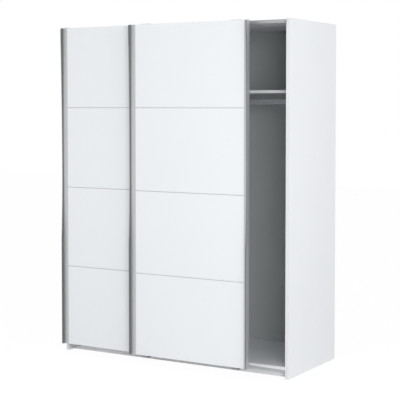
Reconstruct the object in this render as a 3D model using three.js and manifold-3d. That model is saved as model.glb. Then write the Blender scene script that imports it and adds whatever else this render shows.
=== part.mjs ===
// Two-door sliding wardrobe: a board carcass with two compartments, and two
// full-height doors that hang in front of it and slide past each other.
// Units are millimetres. +X is right as seen from the front, +Z is up, and the
// front faces -Y. The origin is on the floor, under the middle of the whole piece.

import * as THREE from 'three';
import { mergeVertices } from 'three/addons/utils/BufferGeometryUtils.js';
import Module from 'manifold-3d';

const wasm = await Module();
wasm.setup();

// ---- Driving dimensions ----------------------------------------------------

// Carcass
const WIDTH = 1540;
const HEIGHT = 2000;
const CARCASS_DEPTH = 620;
const SIDE_THICKNESS = 22;
const BOARD = 16;
const BACK_THICKNESS = 3;
const BACK_INSET = 6;
const BACK_JOINT_GAP = 1;
const BACK_STRIP_WIDTH = 32;
const BACK_STRIP_THICKNESS = 2;
const GLIDE_HEIGHT = 3;
const GLIDE_RADIUS = 9;
const GLIDE_INSET = 60;
const BOTTOM_UNDERSIDE = 54;
const PLINTH_RECESS = 50;
const TOP_EDGE = 1993;
const SHELF_UNDERSIDE = 1592;
const SHELF_SETBACK = 110;
const DIVIDER_SETBACK = 16;

// Hanging rails: an oval tube on its narrow side
const RAIL_TALL = 30;
const RAIL_WIDE = 15;
const RAIL_WALL = 1.2;
const RAIL_HEIGHT = 1543;
const RAIL_FROM_FRONT = 300;
const RAIL_END_GAP = 2;
const SOCKET_LENGTH = 12;
const SOCKET_WALL = 4;

// Doors: distances ahead of the carcass's front plane
const DOOR_WIDTH = 785;
const DOOR_THICKNESS = 16;
const DOOR_BOTTOM = 52;
const PANELS_PER_DOOR = 4;
const SEAM = 3;
const SEAM_RECESS = 0.5;
const SIDE_INSET = 15;
const REAR_DOOR_BACK = 29;
const FRONT_DOOR_BACK = 68;
const FRONT_DOOR_REST_LEFT = -228;

// Handle profile along a door's edge
const WEB = 6;
const LIP = 20;
const LIP_SCOOPED = 9;
const SCOOP_LOW = 700;
const SCOOP_MIDDLE = 1133;
const SCOOP_HIGH = 1960;
const SCOOP_STEPS = 12;
const LIP_CORNER = 8;
const FLANGE_WIDTH = 37;
const SLIM_FLANGE_WIDTH = 25;
const EDGE_FLANGE_WIDTH = 15;
const FLANGE_THICKNESS = 1.5;
const FLANGE_TAPER = 12;
const FLANGE_EDGE = 0.4;

// Running gear
const TRACK_HEIGHT = 20;
const TRACK_FRONT = -16;
const TRACK_BACK = 12;
const TRACK_FLOOR = 2.5;
const TRACK_WALL = 1.5;
const TRACK_FASCIA = 2;
const TRACK_MIDDLE = -2;
const WHEEL_RADIUS = 7.5;
const WHEEL_WIDTH = 5;
const WHEEL_BORE_RADIUS = 2.2;
const WHEEL_CHAMFER = 0.6;
const WHEEL_CLEARANCE = 0.1;
const AXLE_RADIUS = 2;
const AXLE_SPARE = 1.3;
const PLATE = 1.5;
const CARRIAGE_WIDTH = 60;
const CARRIAGE_FROM_EDGE = 90;
const CARRIAGE_DROP = 58;
const STRAP_CLEARANCE = 0.6;
const HOOK_CLEARANCE = 1.5;
const STOP_LENGTH = 11;
const STOP_GAP = 1;
const STOP_HEADROOM = 4;
const GUIDE_WIDTH = 36;
const GUIDE_RAIL_FRONT = 2;
const GUIDE_RAIL_HEIGHT = 8;
const GUIDE_GROOVE = 15;
const GUIDE_TOP = 110;
const GUIDE_SHOE = 14;
const SHOE_CLEARANCE = 1.5;
const REAR_DOOR_FOOT = 41;
const FRONT_DOOR_FOOT = 36;

// How far each door's wheels sit ahead of the middle of their groove
const REAR_DOOR_WHEEL_AHEAD = 1.2;
const FRONT_DOOR_WHEEL_AHEAD = 0.8;

const GAP = 0.3;
const WELD = 0.5;
const ROUND_SEGMENTS = 24;
const OVAL_SEGMENTS = 8;

// ---- Derived places --------------------------------------------------------

const OUTER = WIDTH / 2;
const INNER = OUTER - SIDE_THICKNESS;
const DIVIDER = BOARD / 2;
const BACK_FRONT = CARCASS_DEPTH - BACK_INSET - BACK_THICKNESS;
const BOTTOM_TOP = BOTTOM_UNDERSIDE + BOARD;
const TOP_UNDERSIDE = TOP_EDGE - TRACK_HEIGHT;
const FRONT_DOOR_FACE = -(FRONT_DOOR_BACK + DOOR_THICKNESS);
const OVERALL_FRONT = FRONT_DOOR_FACE - LIP;
const FRAME_SHIFT = -(OVERALL_FRONT + CARCASS_DEPTH) / 2;
const REAR_DOOR_LEFT = -OUTER + SIDE_INSET;
const CARRIAGE_REACH = OUTER - SIDE_INSET - CARRIAGE_FROM_EDGE + CARRIAGE_WIDTH / 2;
const WHEEL_HEIGHT = TOP_UNDERSIDE + TRACK_FLOOR + WHEEL_CLEARANCE + WHEEL_RADIUS;

// ---- Finishes --------------------------------------------------------------

const finish = (color, roughness, metalness = 0) =>
  () => new THREE.MeshStandardMaterial({ color, roughness, metalness });
const whiteBoard = finish(0xf1f2f3, 0.45);
const glossWhite = finish(0xf6f8f9, 0.08);
const backBoard = finish(0x8f9496, 0.7);
const seamGrey = finish(0xc3c8cb, 0.35, 0.3);
const anodised = finish(0xbfc3c6, 0.35, 0.9);
const chrome = finish(0xdadddf, 0.12, 1);
const zincSteel = finish(0xa9adb0, 0.4, 0.9);
const whiteNylon = finish(0xe8e9e6, 0.5);
const greyNylon = finish(0x73767a, 0.5);
const greyRubber = finish(0x54585a, 0.8);

// ---- Shape helpers ---------------------------------------------------------

const wardrobe = new THREE.Group();
wardrobe.position.y = FRAME_SHIFT;

function addMesh(name, geometry, material) {
  const mesh = new THREE.Mesh(geometry, material());
  mesh.name = name;
  wardrobe.add(mesh);
  return mesh;
}

// A straight board between two corners.
function addBoard(name, [x0, x1], [y0, y1], [z0, z1], material) {
  const mesh = addMesh(name, new THREE.BoxGeometry(x1 - x0, y1 - y0, z1 - z0), material);
  mesh.position.set((x0 + x1) / 2, (y0 + y1) / 2, (z0 + z1) / 2);
}

function outline(points) {
  return new THREE.Shape(points.map(([a, b]) => new THREE.Vector2(a, b)));
}

// Extrudes an outline drawn in (y, z) along X.
function alongX(shape, x0, x1) {
  const geometry = new THREE.ExtrudeGeometry(shape, {
    depth: x1 - x0, bevelEnabled: false, curveSegments: OVAL_SEGMENTS,
  });
  const turn = new THREE.Matrix4().makeBasis(
    new THREE.Vector3(0, 1, 0), new THREE.Vector3(0, 0, 1), new THREE.Vector3(1, 0, 0));
  return geometry.applyMatrix4(turn).translate(x0, 0, 0);
}

// Extrudes an outline drawn in (x, y) along Z.
function alongZ(shape, z0, z1) {
  const geometry = new THREE.ExtrudeGeometry(shape, { depth: z1 - z0, bevelEnabled: false });
  return geometry.translate(0, 0, z0);
}

function toSolid(geometry) {
  const bare = geometry.clone();
  bare.deleteAttribute('normal');
  bare.deleteAttribute('uv');
  const merged = mergeVertices(bare, 1e-4);
  return new wasm.Manifold(new wasm.Mesh({
    numProp: 3,
    vertProperties: merged.attributes.position.array,
    triVerts: new Uint32Array(merged.index.array),
  }));
}

function joined(...geometries) {
  const solid = geometries.map(toSolid).reduce((whole, next) => whole.add(next));
  const { vertProperties, triVerts } = solid.getMesh();
  const geometry = new THREE.BufferGeometry();
  geometry.setAttribute('position', new THREE.BufferAttribute(vertProperties, 3));
  geometry.setIndex(new THREE.BufferAttribute(triVerts, 1));
  geometry.computeVertexNormals();
  return geometry;
}

// ---- Carcass ---------------------------------------------------------------

function addCarcass() {
  const depth = [0, CARCASS_DEPTH];
  const standing = [GLIDE_HEIGHT, HEIGHT];
  addBoard('side_panel_left', [-OUTER, -INNER], depth, standing, whiteBoard);
  addBoard('side_panel_right', [INNER, OUTER], depth, standing, whiteBoard);
  addBoard('top_panel', [-INNER, INNER], [TRACK_BACK, BACK_FRONT],
    [TOP_UNDERSIDE, TOP_UNDERSIDE + BOARD], whiteBoard);
  addBoard('bottom_panel', [-INNER, INNER], [0, BACK_FRONT],
    [BOTTOM_UNDERSIDE, BOTTOM_TOP], whiteBoard);
  addBoard('centre_divider', [-DIVIDER, DIVIDER], [DIVIDER_SETBACK, BACK_FRONT],
    [BOTTOM_TOP, TOP_UNDERSIDE], whiteBoard);

  const shelfDepth = [SHELF_SETBACK, BACK_FRONT];
  const shelfHeight = [SHELF_UNDERSIDE, SHELF_UNDERSIDE + BOARD];
  addBoard('shelf_left', [-INNER, -DIVIDER], shelfDepth, shelfHeight, whiteBoard);
  addBoard('shelf_right', [DIVIDER, INNER], shelfDepth, shelfHeight, whiteBoard);

  const plinthHeight = [GLIDE_HEIGHT, BOTTOM_UNDERSIDE];
  const plinthFrontBack = PLINTH_RECESS + BOARD;
  const plinthRearFront = BACK_FRONT - BOARD;
  addBoard('plinth_front', [-INNER, INNER], [PLINTH_RECESS, plinthFrontBack], plinthHeight, whiteBoard);
  addBoard('plinth_rear', [-INNER, INNER], [plinthRearFront, BACK_FRONT], plinthHeight, whiteBoard);
  addBoard('plinth_brace', [-DIVIDER, DIVIDER], [plinthFrontBack, plinthRearFront],
    plinthHeight, whiteBoard);

  const backDepth = [BACK_FRONT, BACK_FRONT + BACK_THICKNESS];
  const backHeight = [BOTTOM_UNDERSIDE, TOP_UNDERSIDE + BOARD];
  const jointHalf = BACK_JOINT_GAP / 2;
  const stripHalf = BACK_STRIP_WIDTH / 2;
  const stripFront = BACK_FRONT + BACK_THICKNESS;
  addBoard('back_panel_left', [-INNER, -jointHalf], backDepth, backHeight, backBoard);
  addBoard('back_panel_right', [jointHalf, INNER], backDepth, backHeight, backBoard);
  addBoard('back_joint_strip', [-stripHalf, stripHalf],
    [stripFront, stripFront + BACK_STRIP_THICKNESS], backHeight, whiteNylon);

  for (const [side, sign] of [['left', -1], ['right', 1]]) {
    for (const [end, y] of [['front', GLIDE_INSET], ['rear', CARCASS_DEPTH - GLIDE_INSET]]) {
      const glide = new THREE.CylinderGeometry(
        GLIDE_RADIUS, GLIDE_RADIUS, GLIDE_HEIGHT, ROUND_SEGMENTS);
      glide.rotateX(Math.PI / 2);
      const mesh = addMesh(`floor_glide_${side}_${end}`, glide, greyRubber);
      mesh.position.set(sign * (OUTER - SIDE_THICKNESS / 2), y, GLIDE_HEIGHT / 2);
    }
  }
}

// ---- Hanging rails and their sockets ---------------------------------------

// An upright oval, straight sided with round ends, centred on the rail's axis.
function ovalPath(path, tall, wide) {
  const radius = wide / 2;
  const straight = (tall - wide) / 2;
  path.moveTo(RAIL_FROM_FRONT + radius, RAIL_HEIGHT - straight);
  path.lineTo(RAIL_FROM_FRONT + radius, RAIL_HEIGHT + straight);
  path.absarc(RAIL_FROM_FRONT, RAIL_HEIGHT + straight, radius, 0, Math.PI, false);
  path.lineTo(RAIL_FROM_FRONT - radius, RAIL_HEIGHT - straight);
  path.absarc(RAIL_FROM_FRONT, RAIL_HEIGHT - straight, radius, Math.PI, 2 * Math.PI, false);
  return path;
}

function ovalRing(tall, wide, wall, x0, x1) {
  const ring = ovalPath(new THREE.Shape(), tall + 2 * wall, wide + 2 * wall);
  ring.holes.push(ovalPath(new THREE.Path(), tall, wide));
  return alongX(ring, x0, x1);
}

function addRail(side, wallX, dividerX) {
  const [x0, x1] = [Math.min(wallX, dividerX), Math.max(wallX, dividerX)];
  const bore = [RAIL_TALL - 2 * RAIL_WALL, RAIL_WIDE - 2 * RAIL_WALL];
  const tube = ovalRing(...bore, RAIL_WALL, x0 + RAIL_END_GAP, x1 - RAIL_END_GAP);
  addMesh(`hanging_rail_${side}`, tube, chrome);
  const socket = (from, to) =>
    ovalRing(RAIL_TALL + 2 * GAP, RAIL_WIDE + 2 * GAP, SOCKET_WALL, from, to);
  const low = socket(x0 + GAP, x0 + SOCKET_LENGTH);
  const high = socket(x1 - SOCKET_LENGTH, x1 - GAP);
  const wallIsLow = wallX < dividerX;
  addMesh(`rail_socket_${side}_outer`, wallIsLow ? low : high, chrome);
  addMesh(`rail_socket_${side}_inner`, wallIsLow ? high : low, chrome);
}

// ---- Top track, stops and bottom guide rail --------------------------------

function addTracks() {
  const base = TOP_UNDERSIDE;
  const floor = base + TRACK_FLOOR;
  const half = TRACK_WALL / 2;
  const section = outline([
    [TRACK_FRONT, base], [TRACK_BACK - GAP, base], [TRACK_BACK - GAP, TOP_EDGE],
    [TRACK_BACK - GAP - TRACK_WALL, TOP_EDGE], [TRACK_BACK - GAP - TRACK_WALL, floor],
    [TRACK_MIDDLE + half, floor], [TRACK_MIDDLE + half, TOP_EDGE],
    [TRACK_MIDDLE - half, TOP_EDGE], [TRACK_MIDDLE - half, floor],
    [TRACK_FRONT + TRACK_FASCIA, floor], [TRACK_FRONT + TRACK_FASCIA, TOP_EDGE],
    [TRACK_FRONT, TOP_EDGE],
  ]);
  addMesh('top_track', alongX(section, -INNER + GAP, INNER - GAP), anodised);

  const grooves = {
    front: [TRACK_FRONT + TRACK_FASCIA + GAP, TRACK_MIDDLE - half - GAP],
    rear: [TRACK_MIDDLE + half + GAP, TRACK_BACK - 2 * GAP - TRACK_WALL],
  };
  const stopHeight = [floor + GAP, TOP_EDGE - STOP_HEADROOM];
  for (const [groove, span] of Object.entries(grooves)) {
    const near = CARRIAGE_REACH + STOP_GAP;
    const far = near + STOP_LENGTH;
    addBoard(`track_stop_left_${groove}`, [-far, -near], span, stopHeight, greyRubber);
    addBoard(`track_stop_right_${groove}`, [near, far], span, stopHeight, greyRubber);
  }

  const top = BOTTOM_UNDERSIDE - GAP;
  const low = BOTTOM_UNDERSIDE - GUIDE_RAIL_HEIGHT;
  const under = top - TRACK_WALL;
  const y0 = GUIDE_RAIL_FRONT;
  const y1 = y0 + TRACK_WALL;
  const y2 = y1 + GUIDE_GROOVE;
  const y3 = y2 + TRACK_WALL;
  const y4 = y3 + GUIDE_GROOVE;
  const y5 = y4 + TRACK_WALL;
  const guide = outline([
    [y0, low], [y1, low], [y1, under], [y2, under], [y2, low], [y3, low],
    [y3, under], [y4, under], [y4, low], [y5, low], [y5, top], [y0, top],
  ]);
  addMesh('bottom_guide_rail', alongX(guide, -INNER + GAP, INNER - GAP), anodised);
  return {
    rearDoorShoe: (y1 + y2) / 2,
    frontDoorShoe: (y3 + y4) / 2,
  };
}

// ---- Doors -----------------------------------------------------------------

// How far the lip stands ahead of the door's face: full at both ends, and
// scooped out by an arc that is deepest a little above the middle.
function lipAt(z) {
  const span = z > SCOOP_MIDDLE ? SCOOP_HIGH - SCOOP_MIDDLE : SCOOP_MIDDLE - SCOOP_LOW;
  const t = Math.min(1, Math.abs(z - SCOOP_MIDDLE) / span);
  return LIP - (LIP - LIP_SCOOPED) * (1 - t * t);
}

// The upright plate of the handle, with its scooped front edge, in (y, z).
function handlePlate(yBack, x0, x1) {
  const face = yBack - DOOR_THICKNESS;
  const tip = face - LIP;
  const shape = new THREE.Shape();
  shape.moveTo(yBack, DOOR_BOTTOM);
  shape.lineTo(yBack, TOP_EDGE);
  shape.lineTo(tip + LIP_CORNER, TOP_EDGE);
  shape.absarc(tip + LIP_CORNER, TOP_EDGE - LIP_CORNER, LIP_CORNER, Math.PI / 2, Math.PI, false);
  for (let i = 0; i <= 2 * SCOOP_STEPS; i++) {
    const above = i <= SCOOP_STEPS;
    const z = above
      ? SCOOP_HIGH + (SCOOP_MIDDLE - SCOOP_HIGH) * (i / SCOOP_STEPS)
      : SCOOP_MIDDLE + (SCOOP_LOW - SCOOP_MIDDLE) * (i / SCOOP_STEPS - 1);
    shape.lineTo(face - lipAt(z), z);
  }
  shape.absarc(tip + LIP_CORNER, DOOR_BOTTOM + LIP_CORNER, LIP_CORNER, Math.PI, 1.5 * Math.PI, false);
  return alongX(shape, x0, x1);
}

// The thin flange that laps onto the door's face, tapering to a fine edge.
// inward is +1 where the door lies to the right of the profile, -1 otherwise.
function faceFlange(yBack, edgeX, inward, width) {
  const face = yBack - DOOR_THICKNESS;
  const at = (distance, ahead) => [edgeX + inward * distance, face - ahead];
  return alongZ(outline([
    at(WEB - WELD, 0), at(width, 0), at(width, FLANGE_EDGE),
    at(width - FLANGE_TAPER, FLANGE_THICKNESS), at(WEB - WELD, FLANGE_THICKNESS),
  ]), DOOR_BOTTOM, TOP_EDGE);
}

function addHandle(name, yBack, edgeX, inward, flangeWidth) {
  const [x0, x1] = inward > 0 ? [edgeX, edgeX + WEB] : [edgeX - WEB, edgeX];
  const flange = faceFlange(yBack - GAP, edgeX, inward, flangeWidth);
  addMesh(name, joined(handlePlate(yBack, x0, x1), flange), anodised);
}

function addEdgeProfile(name, yBack, edgeX, inward) {
  const face = yBack - DOOR_THICKNESS;
  const at = (distance, ahead) => [edgeX + inward * distance, face - ahead];
  const section = outline([
    at(0, -DOOR_THICKNESS), at(WEB, -DOOR_THICKNESS), at(WEB, GAP), at(EDGE_FLANGE_WIDTH, GAP),
    at(EDGE_FLANGE_WIDTH, GAP + FLANGE_THICKNESS), at(0, GAP + FLANGE_THICKNESS),
  ]);
  addMesh(name, alongZ(section, DOOR_BOTTOM, TOP_EDGE), anodised);
}

// A steel hook: screwed to the door's back, over the top, and down into its
// groove, with the stud that carries the wheel.
function addCarriage(door, end, x, yBack, strapUnderside, wheelY) {
  const plateY = wheelY + WHEEL_WIDTH / 2 + GAP;
  const backY = yBack + GAP / 3;
  const strapTop = strapUnderside + PLATE;
  const low = TOP_UNDERSIDE + TRACK_FLOOR + HOOK_CLEARANCE;
  const section = outline([
    [backY, TOP_EDGE - CARRIAGE_DROP], [backY + PLATE, TOP_EDGE - CARRIAGE_DROP],
    [backY + PLATE, strapUnderside], [plateY, strapUnderside], [plateY, low],
    [plateY + PLATE, low], [plateY + PLATE, strapTop], [backY, strapTop],
  ]);
  const hook = alongX(section, x - CARRIAGE_WIDTH / 2, x + CARRIAGE_WIDTH / 2);
  const studLength = WHEEL_WIDTH + AXLE_SPARE;
  const stud = new THREE.CylinderGeometry(AXLE_RADIUS, AXLE_RADIUS, studLength, ROUND_SEGMENTS);
  stud.translate(x, plateY + WELD - studLength / 2, WHEEL_HEIGHT);
  addMesh(`${door}_carriage_${end}`, joined(hook, stud), zincSteel);

  const half = WHEEL_WIDTH / 2;
  const rim = WHEEL_RADIUS - WHEEL_CHAMFER;
  const tread = half - WHEEL_CHAMFER;
  const profile = [
    [WHEEL_BORE_RADIUS, -half], [rim, -half], [WHEEL_RADIUS, -tread],
    [WHEEL_RADIUS, tread], [rim, half], [WHEEL_BORE_RADIUS, half],
    [WHEEL_BORE_RADIUS, -half],
  ].map(([radius, y]) => new THREE.Vector2(radius, y));
  const wheel = addMesh(
    `${door}_wheel_${end}`, new THREE.LatheGeometry(profile, ROUND_SEGMENTS), whiteNylon);
  wheel.position.set(x, wheelY, WHEEL_HEIGHT);
}

// A nylon guide: a plate on the door's back, a foot below the door, and a shoe
// that rises into its groove under the bottom panel.
function addGuide(door, end, x, yBack, footUnderside, shoeY) {
  const backY = yBack + GAP / 3;
  const footTop = footUnderside + PLATE;
  const shoeTop = BOTTOM_UNDERSIDE - TRACK_WALL - SHOE_CLEARANCE;
  const half = GUIDE_SHOE / 2;
  const section = outline([
    [backY, footUnderside], [shoeY + half, footUnderside], [shoeY + half, shoeTop],
    [shoeY - half, shoeTop], [shoeY - half, footTop], [backY + PLATE, footTop],
    [backY + PLATE, GUIDE_TOP], [backY, GUIDE_TOP],
  ]);
  addMesh(`${door}_guide_${end}`, alongX(section, x - GUIDE_WIDTH / 2, x + GUIDE_WIDTH / 2),
    greyNylon);
}

function addDoorBoards(door, left, yBack) {
  const faceSpan = [-yBack - DOOR_THICKNESS, -yBack];
  const across = [left + WEB, left + DOOR_WIDTH - WEB];
  const doorHeight = TOP_EDGE - DOOR_BOTTOM;
  const panelHeight = (doorHeight - SEAM * (PANELS_PER_DOOR - 1)) / PANELS_PER_DOOR;
  for (let i = 0; i < PANELS_PER_DOOR; i++) {
    const z0 = DOOR_BOTTOM + i * (panelHeight + SEAM);
    const z1 = z0 + panelHeight;
    addBoard(`${door}_panel_${i + 1}`, across, faceSpan, [z0, z1], glossWhite);
    if (i < PANELS_PER_DOOR - 1) {
      const strip = [faceSpan[0] + SEAM_RECESS, faceSpan[1]];
      addBoard(`${door}_seam_strip_${i + 1}`, across, strip, [z1, z1 + SEAM], seamGrey);
    }
  }
}

function addDoor(door, left, yBack, gear) {
  addDoorBoards(door, left, yBack);
  const right = left + DOOR_WIDTH;
  addHandle(`${door}_handle_left`, -yBack, left, 1, FLANGE_WIDTH);
  if (gear.handleOnBothEdges) {
    addHandle(`${door}_handle_right`, -yBack, right, -1, SLIM_FLANGE_WIDTH);
  } else {
    addEdgeProfile(`${door}_edge_profile_right`, -yBack, right, -1);
  }
  const ends = [['left', left + CARRIAGE_FROM_EDGE], ['right', right - CARRIAGE_FROM_EDGE]];
  for (const [end, x] of ends) {
    addCarriage(door, end, x, -yBack, gear.strapUnderside, gear.wheelY);
    addGuide(door, end, x, -yBack, gear.footUnderside, gear.shoeY);
  }
}

// ---- Assembly --------------------------------------------------------------

addCarcass();
addRail('left', -INNER, -DIVIDER);
addRail('right', INNER, DIVIDER);
const shoes = addTracks();

const rearStrap = TOP_EDGE + STRAP_CLEARANCE;
addDoor('left_door', REAR_DOOR_LEFT, REAR_DOOR_BACK, {
  handleOnBothEdges: false,
  strapUnderside: rearStrap,
  wheelY: (TRACK_FRONT + TRACK_FASCIA + TRACK_MIDDLE) / 2 - REAR_DOOR_WHEEL_AHEAD,
  footUnderside: REAR_DOOR_FOOT,
  shoeY: shoes.rearDoorShoe,
});
addDoor('right_door', FRONT_DOOR_REST_LEFT, FRONT_DOOR_BACK, {
  handleOnBothEdges: true,
  strapUnderside: rearStrap + PLATE + STRAP_CLEARANCE,
  wheelY: (TRACK_MIDDLE + TRACK_BACK - TRACK_WALL) / 2 - FRONT_DOOR_WHEEL_AHEAD,
  footUnderside: FRONT_DOOR_FOOT,
  shoeY: shoes.frontDoorShoe,
});

export default wardrobe;
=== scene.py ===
# %% [markdown]
# # A sliding door wardrobe
#
# The wardrobe is a white board carcass, two metres tall, with two gloss doors
# that hang in front of it and slide past each other. The packed CAD frame gives
# every part's place and every joint. This notebook builds the parts again with
# eased edges, drilled holes, screws and finishes, and lets each ride on its body.
# Lengths are metres, the front faces -Y, and nothing is placed by hand: all
# places are read from the frame.

# %% Load the frame
import math

import bmesh
import bpy
from mathutils import Matrix, Vector


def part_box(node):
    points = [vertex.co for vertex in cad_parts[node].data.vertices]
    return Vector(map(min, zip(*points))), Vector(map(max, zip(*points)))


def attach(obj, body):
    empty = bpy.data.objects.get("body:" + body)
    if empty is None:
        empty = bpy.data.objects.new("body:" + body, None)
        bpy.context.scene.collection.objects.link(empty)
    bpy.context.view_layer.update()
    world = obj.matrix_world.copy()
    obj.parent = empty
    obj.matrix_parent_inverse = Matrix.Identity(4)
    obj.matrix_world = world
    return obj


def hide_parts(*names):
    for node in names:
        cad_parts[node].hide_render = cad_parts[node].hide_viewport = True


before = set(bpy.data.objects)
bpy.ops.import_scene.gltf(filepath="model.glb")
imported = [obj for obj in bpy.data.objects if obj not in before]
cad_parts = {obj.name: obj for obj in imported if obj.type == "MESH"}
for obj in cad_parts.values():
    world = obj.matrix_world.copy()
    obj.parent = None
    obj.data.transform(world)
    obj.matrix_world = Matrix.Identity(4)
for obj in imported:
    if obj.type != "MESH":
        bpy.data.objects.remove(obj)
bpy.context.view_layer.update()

MM = 0.001

# %% [markdown]
# ## Node trees as sums
#
# Shaders and Geometry Nodes are both trees of sockets. Wiring them node by node
# hides the arithmetic, so one small class wraps a socket: `+`, `-`, `*` and `/`
# add Math nodes, and `node()` adds any other node, settings first.

# %% One class for every node tree
class Wire:
    """A socket in a node tree that can be used in arithmetic."""

    def __init__(self, tree, socket):
        self.tree = tree
        self.socket = socket

    def node(self, kind, sockets=None, settings=None, output=0):
        made = self.tree.nodes.new(kind)
        for name, value in (settings or {}).items():
            setattr(made, name, value)
        for key, value in (sockets or {}).items():
            if isinstance(value, Wire):
                self.tree.links.new(value.socket, made.inputs[key])
            else:
                made.inputs[key].default_value = value
        return Wire(self.tree, made.outputs[output]) if made.outputs else None

    def math(self, operation, first, second=0.0):
        return self.node("ShaderNodeMath", {0: first, 1: second}, {"operation": operation})

    def __add__(self, other):
        return self.math("ADD", self, other)

    def __sub__(self, other):
        return self.math("SUBTRACT", self, other)

    def __rsub__(self, other):
        return self.math("SUBTRACT", other, self)

    def __mul__(self, other):
        return self.math("MULTIPLY", self, other)

    def __truediv__(self, other):
        return self.math("DIVIDE", self, other)

    __radd__ = __add__
    __rmul__ = __mul__


print("a wire can:", ", ".join(name for name in vars(Wire) if name != "__module__"))

# %% Start a Geometry Nodes tree with named inputs
SOCKETS = {
    "geometry": "NodeSocketGeometry", "object": "NodeSocketObject", "number": "NodeSocketFloat",
    "count": "NodeSocketInt", "vector": "NodeSocketVector", "material": "NodeSocketMaterial",
}


def new_tree(name, **inputs):
    """A tree whose inputs are the mesh and the named ones; returns a wire for each."""
    tree = bpy.data.node_groups.new(name, "GeometryNodeTree")
    tree.interface.new_socket("Mesh", in_out="INPUT", socket_type=SOCKETS["geometry"])
    tree.interface.new_socket("Mesh", in_out="OUTPUT", socket_type=SOCKETS["geometry"])
    for label, kind in inputs.items():
        tree.interface.new_socket(label, in_out="INPUT", socket_type=SOCKETS[kind])
    start = tree.nodes.new("NodeGroupInput")
    return tree, {out.name: Wire(tree, out) for out in start.outputs if out.name}


def close_tree(mesh, material):
    """Every tree ends in real geometry with its material on it."""
    whole = mesh.node("GeometryNodeRealizeInstances", {"Geometry": mesh})
    painted = whole.node("GeometryNodeSetMaterial", {"Geometry": whole, "Material": material})
    painted.node("NodeGroupOutput", {0: painted})
    print("tree", material.tree.name, "has", len(material.tree.nodes), "nodes")


def run_tree(piece, tree, **inputs):
    """Puts the tree on the piece, sets its inputs by identifier, and keeps the plain result."""
    modifier = piece.modifiers.new(tree.name, "NODES")
    modifier.node_group = tree
    for item in tree.interface.items_tree:
        if item.in_out == "INPUT" and item.name in inputs:
            modifier[item.identifier] = inputs[item.name]
    ready = piece.evaluated_get(bpy.context.evaluated_depsgraph_get())
    plain = bpy.data.meshes.new_from_object(ready)
    piece.modifiers.clear()
    piece.data = plain


print("a tree's inputs can be:", ", ".join(SOCKETS))

# %% [markdown]
# ## Camera, light and floor
#
# A tall cabinet is drawn from its right, a little below its top. The lens is long,
# so the upright edges stay almost parallel, and a small shift does the rest.
#
# A large soft lamp on the right models the front, a second one the right side, and
# a weak one on the left keeps the left door level. They stay out of reflections,
# or their outlines would stand on the gloss doors. The world fills the shadows.
#
# The white surround is there for camera and glossy rays only, so it shows behind
# the cabinet and in its metal without adding light.

# %% Camera
LENS = 102.08
CAMERA_PLACE = (3.5367, -5.8535, 1.5175)
CAMERA_TURN = math.radians(30.82)
CAMERA_DIP = math.radians(2.7)
CAMERA_SHIFT = -0.1007

camera_data = bpy.data.cameras.new("camera")
camera_data.lens = LENS
camera_data.sensor_width = 36
camera_data.shift_y = CAMERA_SHIFT
camera_data.clip_end = 60
camera = bpy.data.objects.new("camera", camera_data)
camera.location = CAMERA_PLACE
camera.rotation_euler = (math.pi / 2 - CAMERA_DIP, 0, CAMERA_TURN)
bpy.context.scene.collection.objects.link(camera)
bpy.context.scene.camera = camera
bpy.context.scene.view_settings.view_transform = "Standard"
print("camera:", LENS, "mm lens at", CAMERA_PLACE)

# %% Lamps
LAMP_WHITE = (1.0, 0.998, 0.995)
LAMPS = {
    # name: (place, aim, size, watts)
    "key_lamp": ((4.6, -5.0, 1.9), (0.5, -0.2, 0.8), (2.6, 2.4), 160),
    "side_lamp": ((5.6, -1.9, 2.3), (0.77, 0, 1.1), (3.0, 2.6), 64),
    "front_lamp": ((-3.6, -5.2, 1.3), (0, -0.3, 0.9), (3.2, 2.8), 58),
}
for name, (place, aim, size, watts) in LAMPS.items():
    lamp_data = bpy.data.lights.new(name, "AREA")
    lamp_data.shape = "RECTANGLE"
    lamp_data.size, lamp_data.size_y = size
    lamp_data.energy = watts
    lamp_data.color = LAMP_WHITE
    lamp = bpy.data.objects.new(name, lamp_data)
    lamp.location = place
    lamp.rotation_euler = (Vector(aim) - Vector(place)).to_track_quat("-Z", "Y").to_euler()
    lamp.visible_glossy = False
    bpy.context.scene.collection.objects.link(lamp)
print("lamps:", ", ".join(f"{name} {lamp[-1]} W" for name, lamp in LAMPS.items()))

# %% White surround
FILL = 0.5
FILL_TINT = (0.95, 0.975, 1.0, 1)
WHITE = (1, 1, 1, 1)


def looking_rays(owner):
    """Clears the owner's tree; 1 for rays that look at the studio, 0 for rays that light."""
    owner.use_nodes = True
    tree = owner.node_tree
    tree.nodes.clear()
    path = tree.nodes.new("ShaderNodeLightPath")
    looking = Wire(tree, path.outputs["Is Camera Ray"])
    for kind in ("Is Glossy Ray", "Is Transmission Ray"):
        looking = looking.math("MAXIMUM", looking, Wire(tree, path.outputs[kind]))
    return looking


world = bpy.data.worlds.new("studio")
bpy.context.scene.world = world
looking = looking_rays(world)
tint = looking.node("ShaderNodeMix", {0: looking, 6: FILL_TINT, 7: WHITE},
                    {"data_type": "RGBA"}, 2)
strength = looking * (1 - FILL) + FILL
sky = looking.node("ShaderNodeBackground", {"Color": tint, "Strength": strength})
looking.node("ShaderNodeOutputWorld", {"Surface": sky})
print("world: fill", FILL)

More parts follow.
